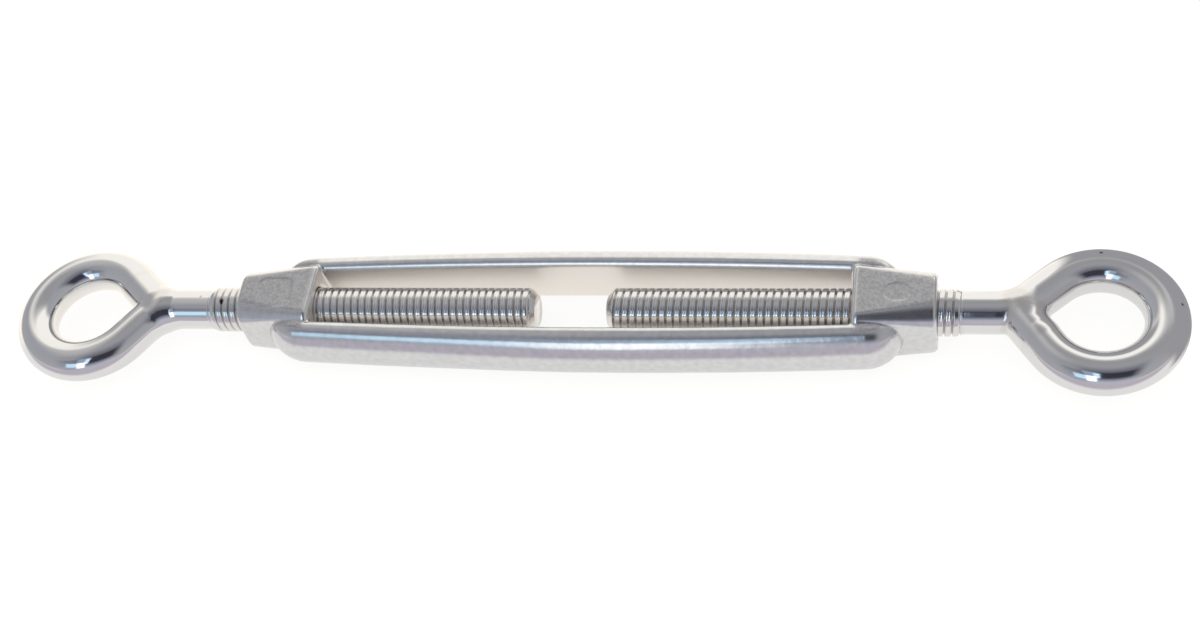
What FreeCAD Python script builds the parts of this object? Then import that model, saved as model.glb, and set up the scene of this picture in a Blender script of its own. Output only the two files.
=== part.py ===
# Open-frame turnbuckle with a welded eye bolt at each end, cast and bent in stainless steel
import FreeCAD, Part
import math
import os

from FreeCAD import Vector

# Frame, in mm: X runs along the common axis of the two screws, Y across the two bars, Z up
body_length = 118.4
block_length = 13.4
block_height = 12.3
block_end_width = 10.8
block_window_width = 11.5
block_end_corner = 3.9
block_window_corner = 1.1
block_end_round = 0.8
block_window_round = 1.0

# Bars of the frame: a D section with its flat side towards the window, bowed outwards in plan
bar_height = 10.0
window_end_width = 10.6
window_middle_width = 12.4
bar_end_thickness = 4.6
bar_middle_thickness = 4.95
bar_inner_round = 1.3
nose_start = 48.0
nose_end = 54.0
nose_tip_offset = 4.5
nose_tip_bulge = 0.15

# Places of the bar's sections, as shares of the way to the nose and of the nose itself
bar_stations = (0.5, 1.0)
nose_stations = (0.0, 0.35, 0.6, 0.8, 0.92, 0.985)

# Screws: 8 mm coarse thread, drawn at its crests
thread_diameter = 7.75
thread_chamfer = 1.2
bore_clearance = 0.05
bore_countersink = 0.5

# Eyes: round rod bent into a drop-shaped loop, its end welded to the shank
rod_diameter = 7.0
eye_radius = 9.9
eye_bend_radius = 9.0
eye_apex_distance = 13.0

# Where each bolt stands as shown: its free end inside the window, its last thread and its eye.
# The right-hand thread is at -X and the left-hand thread at +X. Neither eye is bent quite true:
# its centre lies off the screw axis, towards the strand that flows out of the shank if positive
right_hand_free_end = 7.1
right_hand_thread_end = 66.0
right_hand_eye_centre = 89.0
right_hand_eye_offset = 1.45
right_hand_eye_turn = 0.0
left_hand_free_end = 5.2
left_hand_thread_end = 63.5
left_hand_eye_centre = 84.6
left_hand_eye_offset = -1.54
left_hand_eye_turn = 0.0

half_body = body_length / 2
window_end = half_body - block_length
bore_diameter = thread_diameter + 2 * bore_clearance


def parabola(middle, end, x):
    """Value at x of a gentle bow that is `middle` at the centre and `end` at the window's ends."""
    return middle + (end - middle) * (x / window_end) ** 2


def edges_across(solid, x):
    """Edges of a solid that lie wholly in the plane across X at x."""
    return [e for e in solid.Edges if all(abs(v.X - x) < 1e-6 for v in e.Vertexes)]


def sharp_long_edges(solid):
    """Straight edges of an end block that still run sharp from its window face to its outer face."""
    straight = [e for e in solid.Edges if isinstance(e.Curve, Part.Line)]
    return [e for e in straight if abs(abs(e.Vertexes[0].X - e.Vertexes[-1].X) - block_length) < 1e-6]


def block():
    """End block at +X: a wedge in plan, rounded along its four long edges and at both rims."""
    half_window = block_window_width / 2
    half_end = block_end_width / 2
    bottom = -block_height / 2
    corners = [
        Vector(window_end, -half_window, bottom),
        Vector(half_body, -half_end, bottom),
        Vector(half_body, half_end, bottom),
        Vector(window_end, half_window, bottom),
    ]
    plan = Part.Face(Part.makePolygon(corners + corners[:1]))
    solid = plan.extrude(Vector(0, 0, block_height))
    for count in range(4):
        edge = sharp_long_edges(solid)[0]
        if edge.Vertexes[0].X < edge.Vertexes[-1].X:
            solid = solid.makeFillet(block_window_corner, block_end_corner, [edge])
        else:
            solid = solid.makeFillet(block_end_corner, block_window_corner, [edge])
    solid = solid.makeFillet(block_end_round, edges_across(solid, half_body))
    return solid.makeFillet(block_window_round, edges_across(solid, window_end))


def half_oval(x, centre, bulge, half_height):
    """Half of an ellipse across X at x, from its top point round the side to its bottom point."""
    middle = Vector(x, centre, 0)
    top = Vector(x, centre, half_height)
    side = Vector(x, centre + bulge, 0)
    if half_height > bulge:
        return Part.ArcOfEllipse(Part.Ellipse(top, side, middle), 0, math.pi).toShape()
    return Part.ArcOfEllipse(Part.Ellipse(side, top, middle), -math.pi / 2, math.pi / 2).toShape()


def bar_section(x):
    """D-shaped wire across the bar at x: flat inner wall, small inner rounds, half-oval outside."""
    thickness = parabola(bar_middle_thickness, bar_end_thickness, x)
    outer = parabola(window_middle_width, window_end_width, x) / 2 + thickness
    bulge = thickness - bar_inner_round
    half_height = bar_height / 2
    inner_round = bar_inner_round
    if abs(x) > nose_start:
        share = (abs(x) - nose_start) / (nose_end - nose_start)
        shrink = math.sqrt(1 - share ** 2)
        outer = nose_tip_offset + (outer - nose_tip_offset) * shrink
        bulge = bulge * (nose_tip_bulge + (1 - nose_tip_bulge) * shrink)
        half_height = half_height * shrink
        inner_round = inner_round * shrink
    centre = outer - bulge
    wall = centre - inner_round
    slant = inner_round * (1 - math.sqrt(0.5))
    edges = []
    low = Vector(x, wall, inner_round - half_height)
    high = Vector(x, wall, half_height - inner_round)
    top = Vector(x, centre, half_height)
    bottom = Vector(x, centre, -half_height)
    edges.append(Part.LineSegment(low, high).toShape())
    edges.append(Part.Arc(high, Vector(x, wall + slant, half_height - slant), top).toShape())
    edges.append(half_oval(x, centre, bulge, half_height))
    edges.append(Part.Arc(bottom, Vector(x, wall + slant, slant - half_height), low).toShape())
    return Part.Wire(edges)


def bar():
    """One bowed bar at +Y with a rounded nose at each end that sinks into the end block."""
    half = [nose_start * share for share in bar_stations]
    middle = [-x for x in reversed(half)] + [0.0] + half
    tip = [nose_start + (nose_end - nose_start) * share for share in nose_stations]
    straight = Part.makeLoft([bar_section(x) for x in middle], True, False)
    right_nose = Part.makeLoft([bar_section(x) for x in tip], True, False)
    left_nose = Part.makeLoft([bar_section(-x) for x in tip], True, False)
    return straight.fuse([right_nose, left_nose])


def frame():
    """The cast frame: two end blocks, two bars and the two screw bores on one axis."""
    right_block = block()
    left_block = right_block.mirror(Vector(0, 0, 0), Vector(1, 0, 0))
    far_bar = bar()
    near_bar = far_bar.mirror(Vector(0, 0, 0), Vector(0, 1, 0))
    solid = right_block.fuse([left_block, far_bar, near_bar]).removeSplitter()
    bore = Part.makeCylinder(bore_diameter / 2, body_length, Vector(-half_body, 0, 0), Vector(1, 0, 0))
    solid = solid.cut(bore)
    for side in (1, -1):
        solid = solid.cut([
            countersink(side * half_body, -side),
            countersink(side * window_end, side),
        ])
    return solid


def countersink(x, direction):
    """Cone that breaks the rim of the bore at x and narrows along `direction` on the X axis."""
    return Part.makeCone(
        bore_diameter / 2 + bore_countersink, bore_diameter / 2, bore_countersink,
        Vector(x, 0, 0), Vector(direction, 0, 0),
    )


def rod(edges):
    """Round rod swept along a chain of tangent lines and arcs in the XY plane."""
    path = Part.Wire(edges)
    start = path.OrderedVertexes[0].Point
    along = edges[0].tangentAt(edges[0].FirstParameter)
    ring = Part.Wire(Part.makeCircle(rod_diameter / 2, start, along))
    return path.makePipeShell([ring], True, True)


def round_loop(centre, lean, side):
    """Arc of the loop on one side of its centre, from where a strand leaning `lean` meets it."""
    touch = round_point(centre, math.pi / 2 + lean, side)
    crown = round_point(centre, (math.pi / 2 + lean) / 2, side)
    far = round_point(centre, 0.0, side)
    return Part.Arc(touch, crown, far)


def round_point(centre, angle, side):
    """Point of the loop's centre line at an angle from +X, turned towards +Y or -Y by `side`."""
    return centre + Vector(eye_radius * math.cos(angle), side * eye_radius * math.sin(angle), 0)


def eye_bolt(free_end, thread_end, eye_centre, eye_offset, turn):
    """Eye bolt that leaves the frame at +X, with its loop in the XY plane before it is turned."""
    apex = eye_centre - eye_apex_distance
    centre = Vector(eye_centre, eye_offset, 0)
    # Both strands run from the apex and touch the loop: one leans to +Y, the other to -Y
    aim = math.atan2(eye_offset, eye_apex_distance)
    opening = math.asin(eye_radius / math.hypot(eye_apex_distance, eye_offset))
    flowing_lean = opening + aim
    welded_lean = opening - aim
    flowing_loop = round_loop(centre, flowing_lean, 1)
    welded_loop = round_loop(centre, welded_lean, -1)
    # The bend leaves the axis before the apex and meets the strand the same distance after it
    setback = eye_bend_radius * math.tan(flowing_lean / 2)
    half = flowing_lean / 2
    bend_start = Vector(apex - setback, 0, 0)
    bend_middle = bend_start + Vector(math.sin(half), 1 - math.cos(half), 0) * eye_bend_radius
    bend_end = Vector(apex, 0, 0) + Vector(math.cos(flowing_lean), math.sin(flowing_lean), 0) * setback
    flowing = rod([
        Part.LineSegment(Vector(thread_end, 0, 0), bend_start).toShape(),
        Part.Arc(bend_start, bend_middle, bend_end).toShape(),
        Part.LineSegment(bend_end, flowing_loop.StartPoint).toShape(),
        flowing_loop.toShape(),
    ])
    welded = rod([
        Part.LineSegment(Vector(apex, 0, 0), welded_loop.StartPoint).toShape(),
        welded_loop.toShape(),
    ])
    solid = flowing.fuse([welded, screw(free_end, thread_end)]).removeSplitter()
    solid.rotate(Vector(0, 0, 0), Vector(1, 0, 0), turn)
    return solid


def screw(free_end, thread_end):
    """Threaded length, as a cylinder at the crests with a bevelled free end and a stepped root."""
    radius = thread_diameter / 2
    step = radius - rod_diameter / 2
    points = [
        Vector(free_end, 0, 0),
        Vector(free_end, radius - thread_chamfer, 0),
        Vector(free_end + thread_chamfer, radius, 0),
        Vector(thread_end - step, radius, 0),
        Vector(thread_end, rod_diameter / 2, 0),
        Vector(thread_end, 0, 0),
    ]
    profile = Part.Face(Part.makePolygon(points + points[:1]))
    return profile.revolve(Vector(0, 0, 0), Vector(1, 0, 0), 360)


def turned_to_minus_x(shape):
    """The same piece turned end for end about Z, so that it leaves the frame at -X."""
    turned = shape.copy()
    turned.rotate(Vector(0, 0, 0), Vector(0, 0, 1), 180)
    return turned


def main():
    right_hand_bolt = eye_bolt(
        right_hand_free_end, right_hand_thread_end,
        right_hand_eye_centre, right_hand_eye_offset, right_hand_eye_turn,
    )
    left_hand_bolt = eye_bolt(
        left_hand_free_end, left_hand_thread_end,
        left_hand_eye_centre, left_hand_eye_offset, left_hand_eye_turn,
    )
    pieces = {
        "turnbuckle_frame": frame(),
        "right_thread_eye_bolt": turned_to_minus_x(right_hand_bolt),
        "left_thread_eye_bolt": left_hand_bolt,
    }
    os.makedirs("parts", exist_ok=True)
    for name, shape in pieces.items():
        shape.exportStep(os.path.join("parts", name + ".step"))
        print(name, "valid", shape.isValid(), "solids", len(shape.Solids), "volume", round(shape.Volume, 1))


main()
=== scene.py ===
"""Blender scene of an open-frame turnbuckle: a cast frame and two eye bolts with threads of opposite hand."""
import logging
import math
from dataclasses import dataclass
from enum import Enum
from itertools import product
from typing import Callable, ClassVar

import bmesh
import bpy
import numpy as np
from mathutils import Matrix


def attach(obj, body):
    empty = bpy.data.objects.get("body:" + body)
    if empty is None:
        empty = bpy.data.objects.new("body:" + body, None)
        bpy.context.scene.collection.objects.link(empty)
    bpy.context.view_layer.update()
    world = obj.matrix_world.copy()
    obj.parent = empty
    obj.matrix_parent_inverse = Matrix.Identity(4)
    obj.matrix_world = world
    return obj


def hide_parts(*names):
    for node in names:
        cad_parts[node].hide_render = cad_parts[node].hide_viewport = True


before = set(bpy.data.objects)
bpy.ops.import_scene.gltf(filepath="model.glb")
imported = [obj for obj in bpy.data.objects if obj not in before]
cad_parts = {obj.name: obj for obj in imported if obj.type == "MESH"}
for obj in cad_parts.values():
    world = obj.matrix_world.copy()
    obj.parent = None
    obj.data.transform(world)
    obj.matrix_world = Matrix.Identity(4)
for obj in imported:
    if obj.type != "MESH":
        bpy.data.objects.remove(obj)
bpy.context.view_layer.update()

MM = 0.001
# Cells of a surface net's grid that stay free round the shape
FREE_CELLS = 3.3
# Least slope that a distance is divided by
LEAST_SLOPE = 1e-6
LOG = logging.getLogger("turnbuckle")

Span = tuple[float, float]
Points = np.ndarray
Field = Callable[[Points], np.ndarray]
Tree = bpy.types.NodeTree
Socket = bpy.types.NodeSocket


class ThreadHand(Enum):
    """Hand of a screw thread, as the sign of its advance for a right-handed turn about +X."""

    RIGHT = 1
    LEFT = -1


class Side(Enum):
    """End of the frame that a bolt leaves from, as the sign of its X direction."""

    MINUS_X = -1
    PLUS_X = 1


# Shapes from distances

def smooth_step(value: np.ndarray, start: float, end: float) -> np.ndarray:
    """Ease from 0 at start to 1 at end, flat at both: 3t^2 - 2t^3 of the clamped share t."""
    share = np.clip((value - start) / (end - start), 0.0, 1.0)
    return share * share * (3.0 - 2.0 * share)


def joined(first: np.ndarray, second: np.ndarray, fillet: np.ndarray | float) -> np.ndarray:
    """Union of two distances with a fillet: the smaller one, less (fillet - gap)^2 / (4 fillet)."""
    closeness = np.maximum(fillet - np.abs(first - second), 0.0)
    return np.minimum(first, second) - closeness * closeness / (4.0 * fillet)


def common(first: np.ndarray, second: np.ndarray, edge: float) -> np.ndarray:
    """Intersection of two distances whose shared edge is a quarter circle of radius edge."""
    over = np.hypot(np.maximum(first + edge, 0.0), np.maximum(second + edge, 0.0))
    return np.minimum(-edge, np.maximum(first, second)) + over


def ripple(points: Points, wavelength: float, seed: int) -> np.ndarray:
    """Gentle unevenness: the mean of eight sine waves in directions and phases drawn from the seed.

    Args:
        points: positions, one row each, in mm.
        wavelength: length of the waves in mm, each of which has 0.6 to 1.6 times it.
        seed: number that fixes the directions.

    Returns:
        One number for each point, between -1 and 1.
    """
    waves = 8
    draw = np.random.default_rng(seed)
    directions = draw.normal(size=(waves, 3))
    directions /= np.linalg.norm(directions, axis=1, keepdims=True)
    pace = 2.0 * math.pi / (wavelength * draw.uniform(0.6, 1.6, size=waves))
    phase = draw.uniform(0.0, 2.0 * math.pi, size=waves)
    return np.sin(points @ (directions * pace[:, None]).T + phase).mean(axis=1)


@dataclass
class SurfaceNet:
    """Closed quad mesh of the surface where a distance field is zero.

    A vertex stands in each cell of a cubic grid that the surface passes, at the mean of its
    crossings of the cell's edges, and a quad stands across each grid edge that it crosses. The
    vertices are evened out and then moved along the field's slope until they lie on the surface.
    The slope is taken over steps of a share of a cell to both sides.
    """

    cell: float
    evening: int = 3
    newton_steps: int = 3
    step_share: float = 0.05
    least_steepness: float = 0.05

    def build(self, shape: Field, low: Points, high: Points) -> tuple[Points, np.ndarray, Points]:
        """Mesh one shape.

        Args:
            shape: distance field in mm, negative inside.
            low: lowest corner of the grid.
            high: highest corner of the grid.

        Returns:
            Vertices, quads and the outward normal at each vertex.
        """
        low = np.asarray(low, float)
        counts = np.ceil((np.asarray(high, float) - low) / self.cell).astype(int) + 1
        axes = [low[axis] + self.cell * np.arange(counts[axis]) for axis in range(3)]
        grid = np.stack(np.meshgrid(*axes, indexing="ij"), axis=-1)
        value = shape(grid.reshape(-1, 3)).reshape(counts)
        places, index = self._places(value, counts)
        vertices = low + self.cell * places
        quads = self._quads(value, counts, index)
        for _ in range(self.evening):
            vertices = self._projected(shape, self._evened(vertices, quads))
        vertices = self._projected(shape, vertices)
        slope = self._slope(shape, vertices)
        return vertices, quads, slope / np.linalg.norm(slope, axis=1, keepdims=True)

    def _places(self, value: np.ndarray, counts: np.ndarray) -> tuple[Points, np.ndarray]:
        """Vertex places in grid units, and the vertex number of each cell or -1.

        Args:
            value: distances at the grid's points.
            counts: number of points along each axis.

        Returns:
            Places, one row each, and the grid of vertex numbers.
        """
        cells = tuple(counts - 1)
        total = np.zeros(cells + (3,))
        hits = np.zeros(cells)
        for axis, first, second in product(range(3), (0, 1), (0, 1)):
            others = [other for other in range(3) if other != axis]
            start = np.zeros(3, int)
            start[others] = first, second
            end = start + np.eye(3, dtype=int)[axis]
            low_value = value[tuple(slice(s, s + n) for s, n in zip(start, cells))]
            high_value = value[tuple(slice(s, s + n) for s, n in zip(end, cells))]
            crossed = (low_value < 0) != (high_value < 0)
            gap = np.where(crossed, low_value - high_value, 1.0)
            total[..., axis] += np.where(crossed, low_value / gap, 0.0)
            total[..., others[0]] += crossed * first
            total[..., others[1]] += crossed * second
            hits += crossed
        active = hits > 0
        index = np.full(cells, -1)
        index[active] = np.arange(int(active.sum()))
        return np.argwhere(active) + total[active] / hits[active][:, None], index

    def _quads(self, value: np.ndarray, counts: np.ndarray, index: np.ndarray) -> np.ndarray:
        """One quad across each grid edge that the surface crosses, turned to face outwards.

        Args:
            value: distances at the grid's points.
            counts: number of points along each axis.
            index: vertex number of each cell.

        Returns:
            Vertex numbers, four a row.
        """
        inside = value < 0
        quads = []
        for axis in range(3):
            second, third = np.eye(3, dtype=int)[[(axis + 1) % 3, (axis + 2) % 3]]
            low_side = np.take(inside, range(counts[axis] - 1), axis=axis)
            high_side = np.take(inside, range(1, counts[axis]), axis=axis)
            node = np.argwhere(low_side != high_side)
            leaving = low_side[tuple(node.T)]
            ring = [node - second - third, node - third, node, node - second]
            quad = np.stack([index[tuple(corner.T)] for corner in ring], axis=1)
            quads.append(np.where(leaving[:, None], quad, quad[:, ::-1]))
        return np.concatenate(quads)

    def _evened(self, vertices: Points, quads: np.ndarray) -> Points:
        """Each vertex moved halfway to the mean of its neighbours.

        Args:
            vertices: positions.
            quads: vertex numbers, four a row.

        Returns:
            New positions.
        """
        start = quads.ravel()
        end = np.roll(quads, -1, axis=1).ravel()
        count = np.bincount(start, minlength=len(vertices))
        total = [np.bincount(start, vertices[end, axis], len(vertices)) for axis in range(3)]
        return 0.5 * vertices + 0.5 * np.stack(total, axis=1) / count[:, None]

    def _slope(self, shape: Field, vertices: Points) -> Points:
        """Slope of the field at each vertex, from a small step to both sides along each axis.

        Args:
            shape: distance field.
            vertices: positions.

        Returns:
            Slopes, one row each.
        """
        step = self.step_share * self.cell
        moves = np.eye(3) * step
        return np.stack([shape(vertices + m) - shape(vertices - m) for m in moves], axis=1) / (2 * step)

    def _projected(self, shape: Field, vertices: Points) -> Points:
        """Vertices moved along the slope to where the field is zero, in Newton steps.

        Args:
            shape: distance field.
            vertices: positions.

        Returns:
            New positions.
        """
        for _ in range(self.newton_steps):
            slope = self._slope(shape, vertices)
            steepness = np.maximum((slope * slope).sum(axis=1), self.least_steepness)
            move = np.clip(shape(vertices) / steepness, -self.cell, self.cell)
            vertices = vertices - slope * move[:, None]
        return vertices


def make_piece(
    name: str,
    vertices: Points,
    faces: list[np.ndarray],
    normals: Points | None = None,
    masks: dict[str, np.ndarray] | None = None,
) -> bpy.types.Object:
    """Put arrays into a smooth mesh and link its object.

    Args:
        name: name of the piece.
        vertices: positions in mm.
        faces: arrays of vertex numbers, one array for each number of corners.
        normals: outward normals at the vertices, where the mesh should shade by them.
        masks: numbers from 0 to 1 at the vertices, which the finishes read by name.

    Returns:
        The new object, at the origin.
    """
    mesh = bpy.data.meshes.new(name)
    corners = [face for group in faces for face in group.tolist()]
    mesh.from_pydata((vertices * MM).tolist(), [], corners)
    mesh.shade_smooth()
    for mask, numbers in (masks or {}).items():
        layer = mesh.attributes.new(mask, "FLOAT", "POINT")
        layer.data.foreach_set("value", numbers.astype(np.float32))
    if normals is not None:
        mesh.normals_split_custom_set_from_vertices(normals.tolist())
    piece = bpy.data.objects.new(name, mesh)
    bpy.context.scene.collection.objects.link(piece)
    return piece


# Finishes

def linear(colour: str) -> tuple[float, float, float, float]:
    """sRGB hex colour as linear red, green, blue and alpha, by the sRGB standard's curve."""
    shares = np.array([int(colour[start:start + 2], 16) for start in (1, 3, 5)]) / 255.0
    return (*np.where(shares <= 0.04045, shares / 12.92, ((shares + 0.055) / 1.055) ** 2.4).tolist(), 1.0)


def add_node(
    tree: Tree, kind: str, inputs: dict[str | int, object] | None = None, **settings: object
) -> bpy.types.Node:
    """Add one node with its settings and its inputs.

    Args:
        tree: node tree to add to.
        kind: type name of the node.
        inputs: value, output socket or hex colour for each input, by name or number.
        settings: properties of the node.

    Returns:
        The new node.
    """
    node = tree.nodes.new(kind)
    for name, value in settings.items():
        setattr(node, name, value)
    for key, value in (inputs or {}).items():
        if isinstance(value, Socket):
            tree.links.new(value, node.inputs[key])
        else:
            node.inputs[key].default_value = linear(value) if isinstance(value, str) else value
    return node


def maths(tree: Tree, operation: str, *values: Socket | float) -> Socket:
    """Result of one operation on up to three numbers."""
    node = add_node(tree, "ShaderNodeMath", dict(enumerate(values)), operation=operation)
    return node.outputs["Value"]


def mapped(
    tree: Tree, value: Socket, span: Span = (0.0, 1.0), to: Span = (0.0, 1.0), kind: str = "LINEAR"
) -> Socket:
    """Number taken from one span to another and held at its ends, evenly or by SMOOTHSTEP."""
    return add_node(tree, "ShaderNodeMapRange", {
        "Value": value, "From Min": span[0], "From Max": span[1], "To Min": to[0], "To Max": to[1],
    }, interpolation_type=kind).outputs["Result"]


def crossing(tree: Tree, value: Socket, span_mm: Span) -> Socket:
    """Share of the way over a span in mm, for a number in metres."""
    return mapped(tree, value, (span_mm[0] * MM, span_mm[1] * MM))


def mixed(tree: Tree, share: Socket, first: Socket | str, second: Socket | str) -> Socket:
    """Colour between the first, at share 0, and the second, at share 1."""
    return add_node(tree, "ShaderNodeMix", {0: share, 6: first, 7: second}, data_type="RGBA").outputs[2]


def noise(tree: Tree, place: Socket, size_mm: float, detail: float, roughness: float = 0.5) -> Socket:
    """Noise whose blotches are about size_mm across."""
    return add_node(tree, "ShaderNodeTexNoise", {
        "Vector": place, "Scale": 1.0 / (size_mm * MM), "Detail": detail, "Roughness": roughness,
    }).outputs["Fac"]


def bumped(
    tree: Tree, height: Socket, depth_mm: float, under: Socket | None = None, strength: Socket | float = 1.0
) -> Socket:
    """Normal of a surface with relief.

    Args:
        tree: node tree to add to.
        height: relief, from 0 to 1.
        depth_mm: depth of the relief.
        under: normal of the coarser relief that it lies on, if there is one.
        strength: share of the relief that shows.

    Returns:
        Socket with the normal.
    """
    relief = {"Height": height, "Strength": strength, "Distance": depth_mm * MM}
    lower = {} if under is None else {"Normal": under}
    return add_node(tree, "ShaderNodeBump", relief | lower).outputs["Normal"]


def vertex_share(tree: Tree, name: str) -> Socket:
    """Share that a mesh holds at its vertices under a name."""
    return add_node(tree, "ShaderNodeAttribute", attribute_name=name).outputs["Fac"]


def glow(tree: Tree, colour: Socket | str, strength: float) -> Socket:
    """Even light of one colour."""
    return add_node(tree, "ShaderNodeEmission", {"Color": colour, "Strength": strength}).outputs["Emission"]


def blend(tree: Tree, share: Socket, first: Socket, second: Socket) -> Socket:
    """Shader between the first, at share 0, and the second, at share 1."""
    return add_node(tree, "ShaderNodeMixShader", {0: share, 1: first, 2: second}).outputs["Shader"]


def seen_directly(tree: Tree) -> Socket:
    """1 for rays that come straight from the camera or through glass, and 0 for others."""
    ray = add_node(tree, "ShaderNodeLightPath").outputs
    return maths(tree, "MAXIMUM", ray["Is Camera Ray"], ray["Is Transmission Ray"])


def mirrored(tree: Tree) -> Socket:
    """1 for rays that come from a mirror, and 0 for others."""
    return add_node(tree, "ShaderNodeLightPath").outputs["Is Glossy Ray"]


def colour_ramp(tree: Tree, share: Socket, stops: list[tuple[float, str]]) -> Socket:
    """Colour that changes along a ramp.

    Args:
        tree: node tree to add to.
        share: socket that gives the place on the ramp, from 0 to 1.
        stops: place and hex colour of each stop, in order.

    Returns:
        Socket with the colour.
    """
    node = add_node(tree, "ShaderNodeValToRGB", {"Fac": share})
    while len(node.color_ramp.elements) < len(stops):
        node.color_ramp.elements.new(1.0)
    for element, (place, colour) in zip(node.color_ramp.elements, stops):
        element.position = place
        element.color = linear(colour)
    return node.outputs["Color"]


def bare_metal(tree: Tree, colour: Socket, roughness: Socket, normal: Socket) -> Socket:
    """Shader of bare metal with a colour, a roughness and a relief."""
    return add_node(tree, "ShaderNodeBsdfPrincipled", {
        "Base Color": colour, "Metallic": 1.0, "Roughness": roughness, "Normal": normal,
    }).outputs["BSDF"]


class Finish:
    """What all finishes share: each makes one node material under its own name."""

    name: ClassVar[str]

    def make(self) -> bpy.types.Material:
        """Build the material.

        Returns:
            The material.
        """
        material = bpy.data.materials.new(self.name)
        material.use_nodes = True
        tree = material.node_tree
        tree.nodes.clear()
        place = add_node(tree, "ShaderNodeTexCoord").outputs["Object"]
        add_node(tree, "ShaderNodeOutputMaterial", {"Surface": self.surface(tree, place)})
        return material

    def surface(self, tree: Tree, place: Socket) -> Socket:
        """Add the nodes of the finish.

        Args:
            tree: node tree of the material.
            place: position on the piece, in metres.

        Returns:
            Socket with the finished shader.
        """
        raise NotImplementedError


@dataclass(frozen=True)
class TumbledCastStainless(Finish):
    """Stainless casting, tumbled and polished.

    The bars get a soft mirror, a little dimpled by the tumbling, with faint long polishing lines.
    The flat faces of the end blocks look darker, with the fine sandy grain of the mould under a
    satin sheen, and the walls of the window are as rough and are painted paler and warmer for the light they
    mirror.
    """

    name: ClassVar[str] = "tumbled_cast_stainless"
    colour: str = "#DDDDDD"
    shade: str = "#D5D5D5"
    satin_colour: str = "#BCBCBE"
    satin_shade: str = "#A6A6A9"
    # partly painted light: the window walls' own rough tone, made paler and warmer for the cream light they
    # mirror
    raw_tone_and_light_colour: str = "#ECE8E4"
    polished_roughness: float = 0.14
    satin_roughness: float = 0.42
    raw_roughness: float = 0.38
    grain_roughness: float = 0.10
    grain_mm: float = 0.45
    peel_mm: float = 1.1
    line_mm: float = 0.12
    line_stretch: float = 0.03
    polished_grain: float = 0.12
    grain_depth_mm: float = 0.035
    peel_depth_mm: float = 0.010
    line_depth_mm: float = 0.0012

    def surface(self, tree: Tree, place: Socket) -> Socket:
        """Polished metal, then the window's walls, then the satin faces.

        Args:
            tree: node tree of the material.
            place: position on the piece, in metres.

        Returns:
            Socket with the finished shader.
        """
        satin, raw = vertex_share(tree, "satin"), vertex_share(tree, "raw")
        grain = noise(tree, place, self.grain_mm, 4.0, 0.6)
        peel = noise(tree, place, self.peel_mm, 3.0)
        stretch = (self.line_stretch, 1.0, 1.0)
        stretched = add_node(tree, "ShaderNodeMapping", {"Vector": place, "Scale": stretch})
        lines = noise(tree, stretched.outputs["Vector"], self.line_mm, 2.0)
        polished = mixed(tree, mapped(tree, peel, (0.35, 0.65)), self.colour, self.shade)
        sandy = mixed(tree, mapped(tree, grain, (0.38, 0.62)), self.satin_colour, self.satin_shade)
        # the window walls take the raw colour, which is partly painted light
        colour = mixed(tree, satin, mixed(tree, raw, polished, self.raw_tone_and_light_colour), sandy)
        smooth = mapped(tree, satin, to=(self.polished_roughness, self.satin_roughness))
        rough = maths(tree, "MULTIPLY_ADD", raw, self.raw_roughness - self.polished_roughness, smooth)
        uneven = maths(tree, "MULTIPLY_ADD", grain, self.grain_roughness, rough)
        unpolished = maths(tree, "MAXIMUM", satin, raw)
        tumbled = bumped(tree, peel, self.peel_depth_mm)
        grained = mapped(tree, unpolished, to=(self.polished_grain, 1.0))
        sand = bumped(tree, grain, self.grain_depth_mm, tumbled, grained)
        return bare_metal(tree, colour, uneven, bumped(tree, lines, self.line_depth_mm, sand))


@dataclass(frozen=True)
class PolishedRodStainless(Finish):
    """Drawn stainless rod, bent, welded and buffed.

    The buffing gives a clear mirror with hair-fine lines, the weld a duller, straw-grey patch
    with a rough seam.
    """

    name: ClassVar[str] = "polished_rod_stainless"
    colour: str = "#E3E2E1"
    weld_colour: str = "#DBD8D4"
    # painted shade: near-black colour of the small pits
    pit_shade_colour: str = "#3A3734"
    roughness: float = 0.065
    weld_roughness: float = 0.15
    bead_roughness: float = 0.04
    line_mm: float = 0.15
    bead_mm: float = 0.5
    line_depth_mm: float = 0.0012
    weld_depth_mm: float = 0.02

    def surface(self, tree: Tree, place: Socket) -> Socket:
        """Buffed rod, then the weld, then the painted shade of the pits.

        Args:
            tree: node tree of the material.
            place: position on the piece, in metres.

        Returns:
            Socket with the finished shader.
        """
        weld = vertex_share(tree, "weld")
        lines = noise(tree, place, self.line_mm, 3.0)
        beads = noise(tree, place, self.bead_mm, 4.0)
        unpitted = mixed(tree, weld, self.colour, self.weld_colour)
        # painted shade in the pits
        colour = mixed(tree, vertex_share(tree, "pit_shade"), unpitted, self.pit_shade_colour)
        smooth = mapped(tree, weld, to=(self.roughness, self.weld_roughness))
        uneven = maths(tree, "MULTIPLY_ADD", beads, self.bead_roughness, smooth)
        buffed = bumped(tree, lines, self.line_depth_mm)
        return bare_metal(tree, colour, uneven, bumped(tree, beads, self.weld_depth_mm, buffed, weld))


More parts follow.
